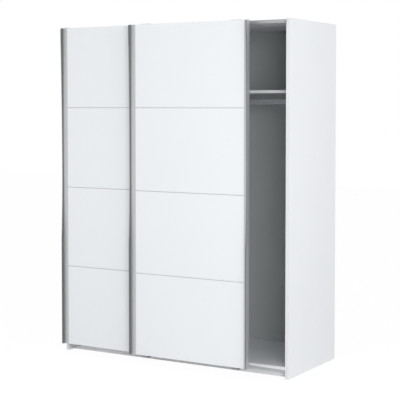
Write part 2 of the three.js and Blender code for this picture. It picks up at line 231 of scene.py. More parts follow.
# %% Floor
FLOOR_HALF = 14.0
FLOOR_GREY = (0.8, 0.803, 0.806, 1)
FLOOR_SHOWS = 0.93
FLOOR_WHITE = 1.035
floor_mesh = bpy.data.meshes.new("floor")
floor_mesh.from_pydata([(x * FLOOR_HALF, y * FLOOR_HALF, 0) for x, y in
                        ((-1, -1), (1, -1), (1, 1), (-1, 1))], [], [(0, 1, 2, 3)])
floor = bpy.data.objects.new("floor", floor_mesh)
bpy.context.scene.collection.objects.link(floor)
floor_paint = bpy.data.materials.new("studio_floor")
looking = looking_rays(floor_paint)
plain_floor = looking.node("ShaderNodeBsdfDiffuse", {"Color": FLOOR_GREY})
white_floor = looking.node("ShaderNodeEmission", {"Strength": FLOOR_WHITE})
floor_shader = looking.node("ShaderNodeMixShader", {
    0: looking * FLOOR_SHOWS, 1: plain_floor, 2: white_floor})
looking.node("ShaderNodeOutputMaterial", {"Surface": floor_shader})
floor_mesh.materials.append(floor_paint)
print("floor:", 2 * FLOOR_HALF, "m square")

# %% [markdown]
# ## Finishes
#
# Each finish is a few expressions on the Object coordinates, which are metres, so
# a noise of scale 900 has grains a little over a millimetre wide. Three things
# carry a surface: its colour with a slow drift, its roughness, and a very small
# bump. The face attributes `band`, `glue` and `rear` come from the boards below,
# and one from the grips marks where shade is painted on them.

# %% Shared parts of a finish
COARSE_BUMP, FINE_BUMP, METAL_BUMP = 0.12 * MM, 0.06 * MM, 0.03 * MM  # deep, in metres


def new_finish(name):
    """A material and a wire for its Object coordinates."""
    material = bpy.data.materials.new(name)
    material.use_nodes = True
    tree = material.node_tree
    tree.nodes.clear()
    print("finish", name)
    return material, Wire(tree, tree.nodes.new("ShaderNodeTexCoord").outputs["Object"])


def grain(here, scale, detail=2.0, stretch=(1, 1, 1)):
    """Noise from 0 to 1, stretched along an axis where that axis is small."""
    mapped = here.node("ShaderNodeMapping", {"Vector": here, "Scale": stretch})
    return here.node("ShaderNodeTexNoise", {"Vector": mapped, "Scale": scale, "Detail": detail})


def between(value, low, high):
    return value * (high - low) + low


def mask(here, name):
    return here.node("ShaderNodeAttribute", {}, {"attribute_name": name}, "Fac")


def mixed(share, first, second):
    return share.node("ShaderNodeMix", {0: share, 6: first, 7: second}, {"data_type": "RGBA"}, 2)


def shade(colour, factor=1.0):
    return tuple(channel * factor for channel in colour) + (1,)


def close_finish(here, colour, roughness, height, depth, metallic=0.0, **plain):
    """Wires the shader: the bump's height is 0 to 1 and its depth is in metres."""
    bump = here.node("ShaderNodeBump", {"Distance": depth, "Height": height})
    shader = here.node("ShaderNodeBsdfPrincipled", {
        "Base Color": colour, "Roughness": roughness, "Metallic": metallic, "Normal": bump,
        **{name.replace("_", " "): value for name, value in plain.items()}})
    here.node("ShaderNodeOutputMaterial", {"Surface": shader})


# %% [markdown]
# ### White board and lacquer
#
# Melamine board has a satin pearl that is pressed into it, and its cut edges are
# covered by a plastic band with a hairline of glue beside it. The doors are
# lacquered: nearly smooth, with the long, shallow ripple of sprayed lacquer, and
# their backs are left satin.

# %% White melamine board
WHITE_BOARD = (0.845, 0.857, 0.872)
BAND_TONE = 0.93
GLUE_TONE = 0.72
PEARL_GRAIN = 780
white_board, here = new_finish("white_board")
pearl = grain(here, PEARL_GRAIN, 3)
drift = grain(here, 3.2, 1)
band = mask(here, "band")
glue = mask(here, "glue")
face = mixed(drift, shade(WHITE_BOARD, 0.985), shade(WHITE_BOARD, 1.01))
edged = mixed(band, face, shade(WHITE_BOARD, BAND_TONE))
colour = mixed(glue, edged, shade(WHITE_BOARD, GLUE_TONE))
roughness = between(grain(here, 46, 2), 0.36, 0.5) - band * 0.08
height = pearl * (1 - band) + grain(here, 120, 1) * band * 0.3 - glue * 0.6
close_finish(here, colour, roughness, height, FINE_BUMP)

# %% Gloss lacquer of the doors
GLOSS_WHITE = (0.888, 0.902, 0.914)
SATIN_REAR = 0.42
RIPPLE, DUST = 95, 1500
gloss_white, here = new_finish("gloss_white")
ripple = grain(here, RIPPLE, 1)
dust = grain(here, DUST, 1)
rear = mask(here, "rear")
drift = grain(here, 2.4, 1)
colour = mixed(drift, shade(GLOSS_WHITE, 0.99), shade(GLOSS_WHITE, 1.006))
wiped = grain(here, 9, 3, (1, 1, 0.35))
roughness = between(wiped, 0.09, 0.16) * (1 - rear) + rear * SATIN_REAR
height = ripple + dust * 0.05 + grain(here, PEARL_GRAIN, 2) * rear * 0.6
close_finish(here, colour, roughness, height, FINE_BUMP, Coat_Weight=0.35, Coat_Roughness=0.04)

# %% [markdown]
# ### Back panel, strips and rubber
#
# The back is thin hardboard. Its inner side is printed a quiet grey and its rear
# is left raw, brown and fibrous. The strip, the guides, the caps and the tyres are
# moulded nylon, and the stops, the seals and the glides are rubber.

# %% Hardboard, plastic and rubber
BACK_GREY = (0.5, 0.525, 0.525)
RAW_BROWN = (0.36, 0.25, 0.16)
back_board, here = new_finish("back_board")
fibre = grain(here, 420, 6, (1, 1, 0.35))
cloud = grain(here, 7, 5)
fleck = grain(here, 60, 4)
rear = mask(here, "rear")
inner = mixed(fibre, shade(BACK_GREY, 0.94), shade(BACK_GREY, 1.05))
raw = mixed(fibre, shade(RAW_BROWN, 0.7), shade(RAW_BROWN, 1.35))
stained = mixed(cloud, raw, shade(RAW_BROWN, 1.5))
wear_and_shade = mixed(fleck * 0.7, stained, shade(RAW_BROWN, 0.62))
colour = mixed(rear, inner, wear_and_shade)
close_finish(here, colour, between(fibre, 0.6, 0.8), fibre, COARSE_BUMP)


def moulded_finish(name, colour, rough, depth, texture):
    """Plastic or rubber with the fine texture of its mould."""
    material, here = new_finish(name)
    fine = grain(here, texture, 2)
    drift = grain(here, 30, 2)
    tone = mixed(drift, shade(colour, 0.95), shade(colour, 1.04))
    close_finish(here, tone, between(fine, rough - 0.07, rough + 0.07), fine, depth)
    return material


white_nylon = moulded_finish("white_nylon", (0.8, 0.81, 0.79), 0.46, 0.08 * MM, 1400)
grey_nylon = moulded_finish("grey_nylon", (0.3, 0.31, 0.32), 0.48, 0.08 * MM, 1400)
grey_rubber = moulded_finish("grey_rubber", (0.09, 0.1, 0.105), 0.75, 0.15 * MM, 1100)

# %% [markdown]
# ### Metals
#
# The grips and tracks are drawn aluminium with a satin anodised skin. Drawing
# leaves fine lines along the profile, so the noise is stretched along it. Metal
# that is less than fully metallic stands for the pale oxide of the skin. Chrome
# has only a faint haze, and zinc plate has the broad dull flakes of its bath.

# %% Aluminium, chrome and zinc
def drawn_metal_finish(name, colour, rough, stretch, metallic=1.0, finger_side=None):
    """Satin metal with lines along the axis whose stretch is small."""
    material, here = new_finish(name)
    lines = grain(here, 1300, 3, stretch)
    broad = grain(here, 90, 2, stretch)
    tone = mixed(lines, shade(colour, 0.94), shade(colour, 1.05))
    # Where the mask is set, the tone is painted dark grey as shade on the grips' lips and noses.
    if finger_side is not None:
        wear_and_shade = mask(here, "finger_side") * between(broad, 0.85, 1.0)
        tone = mixed(wear_and_shade, tone, shade(finger_side))
    roughness = between(broad, rough - 0.05, rough + 0.06) + lines * 0.05
    close_finish(here, tone, roughness, lines, METAL_BUMP, metallic)
    return material


def plated_finish(name, colour, rough, flakes, contrast, metallic=1.0):
    """Plated metal: cells, that many to the metre, that differ by the contrast."""
    material, here = new_finish(name)
    flake = here.node("ShaderNodeTexVoronoi", {"Vector": here, "Scale": flakes}, {}, "Color")
    tint = here.node("ShaderNodeRGBToBW", {"Color": flake})
    haze = grain(here, 60, 3)
    tone = mixed(tint, shade(colour, 1 - contrast), shade(colour, 1 + contrast))
    close_finish(here, tone, between(haze, rough * 0.7, rough * 1.4), haze, 0.02 * MM, metallic)
    return material


UPRIGHT, LEVEL = (1, 1, 0.004), (0.004, 1, 1)
ANODISED = (0.56, 0.572, 0.585)
TRACK_GREY = (0.46, 0.47, 0.48)
# A dark grey painted on the grips' lips and noses as shade.
PAINTED_SHADE_GREY = (0.2, 0.205, 0.21)
anodised_upright = drawn_metal_finish("anodised_aluminium", ANODISED, 0.42, UPRIGHT, 0.6,
                                      PAINTED_SHADE_GREY)
anodised_level = drawn_metal_finish("anodised_aluminium_level", TRACK_GREY, 0.4, LEVEL, 0.7)
seam_grey = drawn_metal_finish("seam_grey", (0.42, 0.44, 0.46), 0.4, LEVEL, 0.25)
chrome = plated_finish("chrome", (0.84, 0.85, 0.86), 0.16, 30, 0.02, 0.8)
zinc_steel = plated_finish("zinc_steel", (0.6, 0.61, 0.6), 0.32, 260, 0.12)

# %% [markdown]
# ## Making and handing over pieces
#
# A piece is a mesh in its final place on an object that stays at the origin. When
# it is done it is handed over: it gets its finish and its body, and the CAD nodes
# that it stands for are hidden. Outlines are drawn in millimetres from the low
# corner of a CAD node's box, so most sizes below read like those of a catalogue.

# %% Helpers for pieces
SHARP = math.radians(50)


def piece_from(name, shape):
    """Turns a bmesh into an object."""
    mesh = bpy.data.meshes.new(name)
    shape.to_mesh(mesh)
    shape.free()
    piece = bpy.data.objects.new(name, mesh)
    bpy.context.scene.collection.objects.link(piece)
    return piece


def hand_over(piece, finish, body, *nodes):
    piece.data.materials.clear()
    piece.data.materials.append(finish)
    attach(piece, body)
    if nodes:
        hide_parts(*nodes)
    print(f"{piece.name}: {len(piece.data.polygons)} faces, rides on {body}")


def smooth(piece, degrees=32):
    """Smooth shading, broken at edges sharper than the angle."""
    piece.data.shade_smooth()
    piece.data.set_sharp_from_angle(angle=math.radians(degrees))
    return piece


def outline_piece(name, outline, axis, start, end, ease=0.0):
    """Extrudes an outline of (y, z) points along "x", or of (x, y) points along "z"."""
    shape = bmesh.new()
    if axis == "x":
        ring = [shape.verts.new((start, a, b)) for a, b in outline]
        push = Vector((end - start, 0, 0))
    else:
        ring = [shape.verts.new((a, b, start)) for a, b in outline]
        push = Vector((0, 0, end - start))
    cap = shape.faces.new(ring)
    grown = bmesh.ops.extrude_face_region(shape, geom=[cap])["geom"]
    moved = [part for part in grown if isinstance(part, bmesh.types.BMVert)]
    bmesh.ops.translate(shape, vec=push, verts=moved)
    bmesh.ops.recalc_face_normals(shape, faces=shape.faces)
    if ease:
        sharp = [e for e in shape.edges if e.calc_face_angle(0) > SHARP]
        bmesh.ops.bevel(shape, geom=sharp, offset=ease, segments=2, profile=0.5, affect="EDGES")
    return piece_from(name, shape)


def rounded(corners, steps=4):
    """An outline from (a, b, radius) corners, each with its arc."""
    points = []
    for i, (a, b, radius) in enumerate(corners):
        corner = Vector((a, b))
        if not radius:
            points.append(tuple(corner))
            continue
        before = (Vector(corners[i - 1][:2]) - corner).normalized()
        after = (Vector(corners[(i + 1) % len(corners)][:2]) - corner).normalized()
        half = before.angle(after) / 2
        centre = corner + (before + after).normalized() * radius / math.sin(half)
        first = corner + before * radius / math.tan(half) - centre
        last = corner + after * radius / math.tan(half) - centre
        sweep = first.angle_signed(last)
        for step in range(steps + 1):
            turn = Matrix.Rotation(-sweep * step / steps, 2)
            points.append(tuple(centre + turn @ first))
    return points


def section(low, corners, steps=4):
    """Rounds (ahead of low.y, above low.z, radius) corners in millimetres; gives (y, z)."""
    return [(low.y + a * MM, low.z + b * MM) for a, b in rounded(corners, steps)]


def middle_of(node):
    low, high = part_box(node)
    return (low + high) / 2


def along(low, high, count):
    """That many places spread evenly between the two corners' x."""
    return [low.x + (high.x - low.x) * (k + 0.5) / count for k in range(count)]


print("outlines, boxes and places are ready")

# %% [markdown]
# ## Carcass boards
#
# A board is a box with eased edges. What makes it read as furniture is its edge
# band: a thin strip that wraps the sawn edge, with a glue hairline where it meets
# the face. The broad faces are inset twice to make that ring, and face attributes
# mark band, glue and rear for the finishes.

# %% A board with banded edges
BAND = 0.6 * MM
GLUE_LINE = 0.25 * MM


def board(name, low, high, ease=0.8 * MM, banded=True):
    """A box with eased edges, whose broad faces may have the band's ring around them."""
    size = high - low
    shape = bmesh.new()
    bmesh.ops.create_cube(shape, size=1.0,
                          matrix=Matrix.LocRotScale((low + high) / 2, None, size))
    bmesh.ops.bevel(shape, geom=shape.edges[:], offset=ease, segments=3, profile=0.5,
                    affect="EDGES")
    band = shape.faces.layers.float.new("band")
    glue = shape.faces.layers.float.new("glue")
    rear = shape.faces.layers.float.new("rear")
    thin = min(range(3), key=lambda axis: size[axis])
    shape.normal_update()
    broad = [f for f in shape.faces if abs(f.normal[thin]) > 0.999]
    for face in shape.faces:
        face[band] = 0.0 if face in broad else 1.0
        face[rear] = 1.0 if face.normal.y > 0.9 else 0.0
    for face in broad if banded else []:
        for mark, wide in ((band, BAND), (glue, GLUE_LINE)):
            for ring in bmesh.ops.inset_region(shape, faces=[face], thickness=wide)["faces"]:
                ring[mark] = 1.0
    return piece_from(name, shape)


print("band", BAND, "m, glue line", GLUE_LINE, "m")

# %% [markdown]
# ### Drilled rows
#
# Shelf heights are set by rows of 5 mm holes, 32 mm apart. They are real holes:
# a tree lays the drill along a line of points, copies that line to the second row,
# and cuts all of the drills out of the board.

# %% The drilling tree
HOLE_SIDES = 12
drill_rows, given = new_tree(
    "drill_rows", Drill="number", Depth="number", Pitch="number", Count="count",
    First="vector", Second_Row="vector", Material="material")
board_mesh = given["Mesh"]
offset = board_mesh.node("ShaderNodeCombineXYZ", {"Z": given["Pitch"]})
line = board_mesh.node("GeometryNodeMeshLine", {
    "Count": given["Count"], "Start Location": given["First"], "Offset": offset})
second = board_mesh.node("GeometryNodeTransform", {
    "Geometry": line, "Translation": given["Second_Row"]})
both = board_mesh.node("GeometryNodeJoinGeometry", {0: line})
drill_rows.links.new(second.socket, both.socket.node.inputs[0])
bit = board_mesh.node("GeometryNodeMeshCylinder", {
    "Vertices": HOLE_SIDES, "Radius": given["Drill"] / 2, "Depth": given["Depth"] * 2})
aimed = board_mesh.node("FunctionNodeAxisAngleToRotation", {
    "Axis": (0, 1, 0), "Angle": math.pi / 2})
bits = board_mesh.node("GeometryNodeInstanceOnPoints", {
    "Points": both, "Instance": bit, "Rotation": aimed})
solid = bits.node("GeometryNodeRealizeInstances", {"Geometry": bits})
cut = solid.node("GeometryNodeMeshBoolean", {"Mesh 1": board_mesh},
                 {"operation": "DIFFERENCE", "solver": "EXACT"})
drill_rows.links.new(solid.socket, cut.socket.node.inputs["Mesh 2"])
close_tree(cut, given["Material"])

# %% Drill a board
DRILL = 5 * MM
PITCH = 32 * MM
ROW_INSET = 37 * MM
HOLE_DEPTH = 9 * MM
LOWEST_HOLE = 0.294
HOLES_UP = 48


def drill(piece, face_x):
    """Two rows of holes into the face that stands at that x."""
    low, high = (Vector(corner) for corner in (piece.bound_box[0], piece.bound_box[6]))
    front = low.y + ROW_INSET
    rear = high.y - ROW_INSET
    run_tree(piece, drill_rows, Drill=DRILL, Depth=HOLE_DEPTH, Pitch=PITCH, Count=HOLES_UP,
             First=(face_x, front, LOWEST_HOLE), Second_Row=(0, rear - front, 0),
             Material=white_board)


# %% Carcass
drilled_faces = {"side_panel_left": (1,), "side_panel_right": (0,), "centre_divider": (0, 1)}
for node in ("side_panel_left", "side_panel_right", "top_panel", "bottom_panel", "centre_divider",
             "shelf_left", "shelf_right", "plinth_front", "plinth_rear", "plinth_brace"):
    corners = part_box(node)
    piece = board(node + "_board", *corners)
    for end in drilled_faces.get(node, ()):
        drill(piece, corners[end].x)
    hand_over(piece, white_board, "root", node)

# %% Back panels
ENDS = ("left", "right")
for side in ENDS:
    node = f"back_panel_{side}"
    piece = board(node + "_sheet", *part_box(node), ease=0.3 * MM, banded=False)
    hand_over(piece, back_board, "root", node)

# %% Strip that joins the two back panels, with a shallow groove down its middle
RIB = 2.5 * MM
low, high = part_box("back_joint_strip")
joint_strip = outline_piece("back_joint_strip_moulding", rounded([
    (low.x, low.y, 0), (high.x, low.y, 0), (high.x, high.y - 0.4 * MM, 0.3 * MM),
    (RIB, high.y, 0.8 * MM), (0, high.y - 0.7 * MM, 0.6 * MM), (-RIB, high.y, 0.8 * MM),
    (low.x, high.y - 0.4 * MM, 0.3 * MM)]), "z", low.z, high.z)
hand_over(smooth(joint_strip), white_nylon, "root", "back_joint_strip")

# %% [markdown]
# ## Doors
#
# Each door is a stack of four equal lacquered panels with a slim strip in each
# seam. A stack follows one rule, so a tree repeats the lowest panel upwards at a
# fixed pitch, and the same tree repeats the strip.

# %% The stacking tree
stack_up, given = new_tree("stack_up", Count="count", Pitch="number", Material="material")
part = given["Mesh"]
offset = part.node("ShaderNodeCombineXYZ", {"Z": given["Pitch"]})
line = part.node("GeometryNodeMeshLine", {"Count": given["Count"], "Offset": offset})
copies = part.node("GeometryNodeInstanceOnPoints", {"Points": line, "Instance": part})
close_tree(copies, given["Material"])

# %% Door panels and seam strips
DOORS = ("left_door", "right_door")
PANELS = 4
PANEL_EASE = 1.1 * MM
SEAM_EASE = 0.35 * MM
for door in DOORS:
    first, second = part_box(f"{door}_panel_1"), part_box(f"{door}_panel_2")
    pitch = second[0].z - first[0].z
    panels = board(f"{door}_gloss_panels", *first, ease=PANEL_EASE, banded=False)
    run_tree(panels, stack_up, Count=PANELS, Pitch=pitch, Material=gloss_white)
    hand_over(panels, gloss_white, door,
              *[f"{door}_panel_{i + 1}" for i in range(PANELS)])
    seams = board(f"{door}_seam_strips", *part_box(f"{door}_seam_strip_1"), ease=SEAM_EASE,
                  banded=False)
    run_tree(seams, stack_up, Count=PANELS - 1, Pitch=pitch, Material=seam_grey)
    hand_over(seams, seam_grey, door,
              *[f"{door}_seam_strip_{i + 1}" for i in range(PANELS - 1)])

# %% [markdown]
# ## Grips
#
# The grip is a drawn profile along the door's edge: a plate with a round nose that
# stands ahead of the door, and a thin flange that laps onto the face. The nose is
# full depth at both ends and is milled back by a long arc between, a little above
# the middle, where a hand takes hold. A groove in the nose holds a dark rubber seal,
# which is also painted shade on the nose's full-depth ends, and the mill cuts both
# away. The lip's inner side and its nose are painted dark grey as shade, and a face
# attribute marks them for the finish.
#
# A tree sweeps the profile up a spine, then pushes back whatever stands ahead of
# the milled line at that height.

# %% The grip tree
scooped_grip, given = new_tree(
    "scooped_grip", Profile="object", Tip_Line="number", Scoop="number", Low="number",
    Middle="number", High="number", Foot="number", Head="number", Corner="number",
    Material="material")
spine = given["Mesh"].node("GeometryNodeMeshToCurve", {0: given["Mesh"]})
drawn = spine.node("GeometryNodeObjectInfo", {"Object": given["Profile"]}, {}, "Geometry")
ring = drawn.node("GeometryNodeMeshToCurve", {0: drawn})
bar = ring.node("GeometryNodeCurveToMesh", {
    "Curve": spine, "Profile Curve": ring, "Fill Caps": True})
place = bar.node("GeometryNodeInputPosition")
split = place.node("ShaderNodeSeparateXYZ", {"Vector": place})
depth = Wire(scooped_grip, split.socket.node.outputs["Y"])
height = Wire(scooped_grip, split.socket.node.outputs["Z"])
above = height.math("GREATER_THAN", height, given["Middle"])
upper = given["High"] - given["Middle"]
lower = given["Middle"] - given["Low"]
span = above * upper + (1 - above) * lower
away = height.math("ABSOLUTE", height - given["Middle"]) / span
inside = height.math("MINIMUM", away, 1.0)
scooped = given["Scoop"] * (1 - inside * inside)
to_end = height.math("MINIMUM", height - given["Foot"], given["Head"] - height)
short = height.math("MAXIMUM", given["Corner"] - to_end, 0.0)
rest = given["Corner"] * given["Corner"] - short * short
round_off = given["Corner"] - height.math("SQRT", rest)
mill_line = given["Tip_Line"] + scooped + round_off
cut_back = height.math("MAXIMUM", mill_line - depth, 0.0)
pull = place.node("ShaderNodeCombineXYZ", {"Y": cut_back})
shaped = bar.node("GeometryNodeSetPosition", {"Geometry": bar, "Offset": pull})
close_tree(shaped, given["Material"])

# %% Grip sizes, in millimetres from the door's edge and ahead of its face
PLATE = 6
LIP = 20
LIP_SCOOPED = 9
GROOVE = (1.6, 4.4)
GROOVE_DEPTH = 2.5
FLANGE = 37
SLIM_FLANGE = 25
FLANGE_TAPER = 12
FLANGE_LIFT = 0.3
FLANGE_TOP = 1.8
DOOR_THICKNESS = 16
GROOVE_FLOOR = LIP - GROOVE_DEPTH
SHADE_SEAL_SUNK = 0.3
SHADE_SEAL_PLAY = 0.05
CORNER = 8
BACK_RADIUS, NOSE_RADIUS, ROOT_RADIUS, TAPER_RADIUS = 0.4, 0.5, 2.4, 3

# Heights above the floor in metres, and how many steps the spine takes between them
SCOOP_LOW, SCOOP_MIDDLE, SCOOP_HIGH = 0.7, 1.133, 1.96
LOWER_STEPS, UPPER_STEPS, END_STEPS = 16, 24, 6


def grip_corners(flange):
    """The profile's corners, each with its radius."""
    near, far = GROOVE
    return [
        (0, -DOOR_THICKNESS, BACK_RADIUS), (0, LIP, NOSE_RADIUS), (near, LIP, 0),
        (near, GROOVE_FLOOR, 0), (far, GROOVE_FLOOR, 0), (far, LIP, 0),
        (PLATE, LIP, NOSE_RADIUS), (PLATE, FLANGE_TOP, ROOT_RADIUS),
        (flange - FLANGE_TAPER, FLANGE_TOP, TAPER_RADIUS), (flange, FLANGE_LIFT + 0.4, 0.15),
        (flange, FLANGE_LIFT, 0), (PLATE, FLANGE_LIFT, 0), (PLATE, -DOOR_THICKNESS, BACK_RADIUS),
    ]


# A dark rubber seal in the nose groove, which also stands in for shade on the nose.
def shade_seal_corners():
    near, far = GROOVE[0] + SHADE_SEAL_PLAY, GROOVE[1] - SHADE_SEAL_PLAY
    foot, top = GROOVE_FLOOR + SHADE_SEAL_PLAY, LIP - SHADE_SEAL_SUNK
    return [(near, foot, 0), (near, top, 0.3), (far, top, 0.3), (far, foot, 0)]


def spine_heights(foot, head):
    """Close together in the rounded ends, and every 20 to 40 mm in the scoop."""
    quarter = [math.radians(90 * k / END_STEPS) for k in range(END_STEPS + 1)]
    ends = [CORNER * MM * (1 - math.cos(angle)) for angle in quarter]
    lower, upper = SCOOP_MIDDLE - SCOOP_LOW, SCOOP_HIGH - SCOOP_MIDDLE
    scoop = [SCOOP_LOW + lower * k / LOWER_STEPS for k in range(LOWER_STEPS)]
    scoop += [SCOOP_MIDDLE + upper * k / UPPER_STEPS for k in range(UPPER_STEPS + 1)]
    return [foot + e for e in ends] + scoop + [head - e for e in reversed(ends)]


print("lip", LIP, "mm, scooped to", LIP_SCOOPED, "mm at", SCOOP_MIDDLE, "m")

# %% Sweep one profile and mill it
MERGE = 1e-6
NOSE_AHEAD = 4 * MM
FACES_INWARD, FACES_AHEAD = 0.3, -0.5


def milled(name, outline, runs, sunk, span, material, finger_side):
    """Sweeps the outline over each run of heights and mills it, sunk metres behind the lip."""
    foot, head, tip_line = span
    profile = bpy.data.objects.new("profile", bpy.data.meshes.new("profile"))
    profile.data.from_pydata([(x, y, 0) for x, y in outline],
                             [(i, (i + 1) % len(outline)) for i in range(len(outline))], [])
    bpy.context.scene.collection.objects.link(profile)
    spine = bmesh.new()
    for heights in runs:
        steps = [spine.verts.new((0, 0, z)) for z in heights]
        for a, b in zip(steps, steps[1:]):
            spine.edges.new((a, b))
    piece = piece_from(name, spine)
    run_tree(piece, scooped_grip, Profile=profile, Tip_Line=tip_line + sunk,
             Scoop=(LIP - LIP_SCOOPED) * MM, Low=SCOOP_LOW, Middle=SCOOP_MIDDLE,
             High=SCOOP_HIGH, Foot=foot, Head=head, Corner=CORNER * MM, Material=material)
    bpy.data.objects.remove(profile)
    tidy = bmesh.new()
    tidy.from_mesh(piece.data)
    bmesh.ops.remove_doubles(tidy, verts=tidy.verts, dist=MERGE)
    bmesh.ops.dissolve_degenerate(tidy, edges=tidy.edges, dist=MERGE)
    bmesh.ops.recalc_face_normals(tidy, faces=tidy.faces)
    tidy.normal_update()
    # Faces on the lip's inner side and on its nose are marked; the finish paints them dark grey
    # as shade.
    layer = tidy.faces.layers.float.new("finger_side")
    inward, flange_top = finger_side
    for face in tidy.faces:
        ahead = flange_top - face.calc_center_median().y
        side = ahead > 0 and face.normal.x * inward > FACES_INWARD
        nose = ahead > NOSE_AHEAD and face.normal.y < FACES_AHEAD
        face[layer] = 1.0 if side or nose else 0.0
    tidy.to_mesh(piece.data)
    tidy.free()
    return piece


# %% Grips on both doors, and the dark seals in their grooves, which also paint shade
# The dark seal, which paints shade on the nose's full-depth ends, stops short of the ends and of
# the scoop.
SHADE_SEAL_ENDS = 2.6 * MM
SHADE_SEAL_GONE = 0.89


def grip(node, door, inward, flange):
    """One grip and its seal; inward is 1 where the door lies to the right of it, or -1."""
    low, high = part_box(node)
    edge_x = low.x if inward > 0 else high.x
    face_y = low.y + LIP * MM
    span = (low.z, high.z, low.y)
    finger_side = (inward, face_y - FLANGE_TOP * MM)

    def placed(corners):
        return [(edge_x + inward * a * MM, face_y - b * MM) for a, b in rounded(corners, 5)]

    heights = spine_heights(low.z, high.z)
    piece = milled(node.replace("handle", "grip"), placed(grip_corners(flange)), [heights], 0,
                   span, anodised_upright, finger_side)
    hand_over(smooth(piece, 25), anodised_upright, door, node)
    lower_end = SCOOP_MIDDLE - (SCOOP_MIDDLE - SCOOP_LOW) * SHADE_SEAL_GONE
    upper_end = SCOOP_MIDDLE + (SCOOP_HIGH - SCOOP_MIDDLE) * SHADE_SEAL_GONE
    foot, head = low.z + SHADE_SEAL_ENDS, high.z - SHADE_SEAL_ENDS
    lower = [foot] + [z for z in heights if foot < z < lower_end] + [lower_end]
    upper = [upper_end] + [z for z in heights if upper_end < z < head] + [head]
    # The dark seal is a rubber part that also paints the shade on the nose's full-depth ends.
    shade_seal = milled(piece.name + "_seal", placed(shade_seal_corners()), [lower, upper], SHADE_SEAL_SUNK * MM,
                  span, grey_rubber, finger_side)
    hand_over(smooth(shade_seal), grey_rubber, door)


grip("left_door_handle_left", "left_door", 1, FLANGE)
grip("right_door_handle_left", "right_door", 1, FLANGE)
grip("right_door_handle_right", "right_door", -1, SLIM_FLANGE)

# %% Plain edge profile on the left door's hidden edge
EDGE_FLANGE = 15
low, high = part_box("left_door_edge_profile_right")
face_y = high.y - DOOR_THICKNESS * MM
edge_corners = [
    (0, -DOOR_THICKNESS, BACK_RADIUS), (0, FLANGE_TOP, 0.9), (EDGE_FLANGE, FLANGE_TOP, 0.7),
    (EDGE_FLANGE, FLANGE_LIFT, 0), (PLATE, FLANGE_LIFT, 0), (PLATE, -DOOR_THICKNESS, BACK_RADIUS),
]
edge_profile = outline_piece(
    "left_door_edge_profile",
    [(high.x - a * MM, face_y - b * MM) for a, b in rounded(edge_corners)],
    "z", low.z, high.z)
hand_over(smooth(edge_profile), anodised_upright, "left_door",
          "left_door_edge_profile_right")

# %% [markdown]
# ## Hanging rails
#
# The rails are oval tubes that stand on edge, so they carry more without bending.
# Each end sits in a cast socket: a flange with two screws, and a collar that the
# tube slides into. Both are lofts: rings of the same oval, joined one to the next.

# %% Lofts, turned parts and ovals
def loft(name, rings, closed=False):
    """Joins rings of points into a skin; a ring of one point is a pole."""
    shape = bmesh.new()
    loops = [[shape.verts.new(point) for point in ring] for ring in rings]
    sides = max(len(ring) for ring in rings)
    pairs = list(zip(loops, loops[1:]))
    if closed:
        pairs.append((loops[-1], loops[0]))
    for a, b in pairs:
        for k in range(sides):
            n = (k + 1) % sides
            corners = (a[k % len(a)], a[n % len(a)], b[n % len(b)], b[k % len(b)])
            shape.faces.new(list(dict.fromkeys(corners)))
    bmesh.ops.recalc_face_normals(shape, faces=shape.faces)
    return piece_from(name, shape)


def turned(name, profile, centre, axis="z", closed=False, sides=32):
    """Turns (radius, along) points, in millimetres, about an axis through the centre."""
    rings = []
    for radius, along in profile:
        ring = []
        for k in range(sides if radius else 1):
            angle = math.tau * k / sides
            u, v = radius * math.cos(angle), radius * math.sin(angle)
            ring.append(centre + Vector((u, along, v) if axis == "y" else (u, v, along)) * MM)
        rings.append(ring)
    return loft(name, rings, closed)


OVAL_STEPS = 10  # in each half circle


def oval(x, middle, wide, tall):
    """An upright oval with straight sides, in the plane of that x."""
    radius = wide / 2
    straight = (tall - wide) / 2
    ring = []
    for start, lift in ((0, straight), (math.pi, -straight)):
        for k in range(OVAL_STEPS + 1):
            angle = start + math.pi * k / OVAL_STEPS
            ring.append((x, middle.y + radius * math.cos(angle) * MM,
                         middle.z + (lift + radius * math.sin(angle)) * MM))
    return ring


# %% Rails
RAIL_WIDE, RAIL_TALL, RAIL_WALL, RAIL_EASE = 15, 30, 1.2, 0.3
eased = (RAIL_WIDE - RAIL_EASE, RAIL_TALL - RAIL_EASE)
bore = (RAIL_WIDE - 2 * RAIL_WALL, RAIL_TALL - 2 * RAIL_WALL)
for side in ENDS:
    node = f"hanging_rail_{side}"
    low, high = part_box(node)
    middle = middle_of(node)
    rail = loft(node + "_tube", [
        oval(low.x, middle, *eased), oval(low.x + RAIL_EASE * MM, middle, RAIL_WIDE, RAIL_TALL),
        oval(high.x - RAIL_EASE * MM, middle, RAIL_WIDE, RAIL_TALL),
        oval(high.x, middle, *eased), oval(high.x, middle, *bore),
        oval(low.x, middle, *bore)], closed=True)
    hand_over(smooth(rail), chrome, "root", node)

